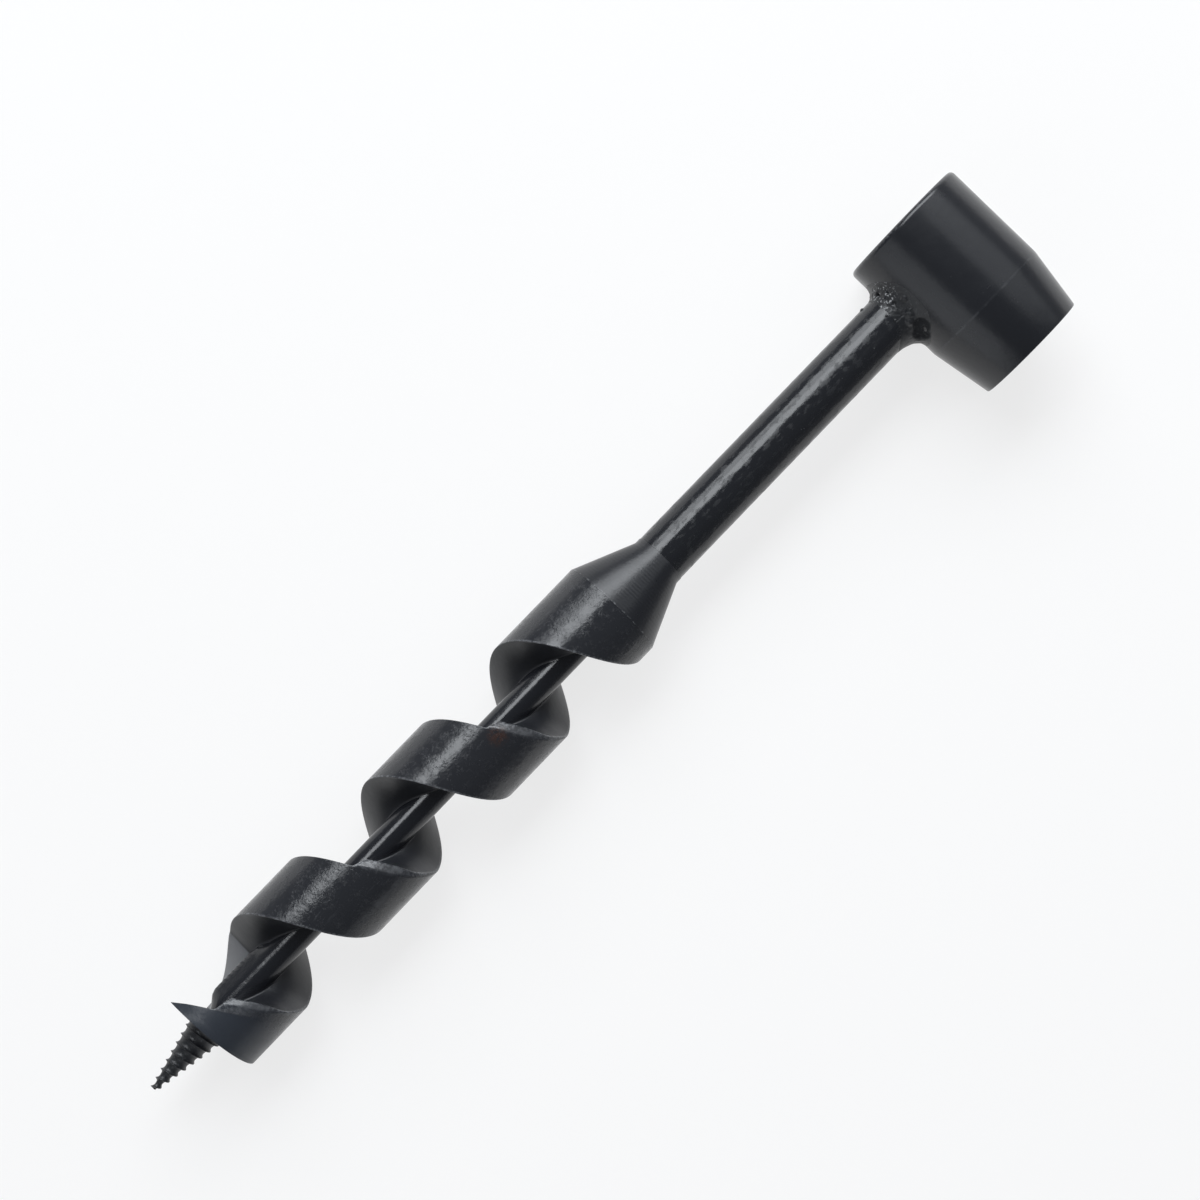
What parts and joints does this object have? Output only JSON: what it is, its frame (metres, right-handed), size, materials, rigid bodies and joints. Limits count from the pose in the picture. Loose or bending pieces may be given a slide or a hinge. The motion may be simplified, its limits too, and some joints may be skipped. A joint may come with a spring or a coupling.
{
  "type": "hand auger",
  "caption": "Welded steel hand auger: a cross eye for a wooden T-handle, a round shank, a conical collar, a wide helical twist with a cutting lip and a tapered lead screw.",
  "frame": {"origin": "where the axis of the eye's bore crosses the tool's axis", "axes": "+X from the lead screw toward the eye along the tool's axis, +Y along the eye's bore out of its plain end, +Z square to both"},
  "size_m": [0.2735, 0.0417, 0.0324],
  "materials": {
    "eye_finish": "satin",
    "weld_finish": "rough satin",
    "shank_finish": "gloss",
    "twist_finish": "satin, pitted",
    "screw_finish": "satin"
  },
  "bodies": {
    "root": {"handle_eye": "eye_finish", "weld_plain_side": "weld_finish", "weld_taper_side": "weld_finish", "shank": "shank_finish", "collar": "shank_finish", "twist": "twist_finish", "lead_screw": "screw_finish"}
  },
  "joints": []
}
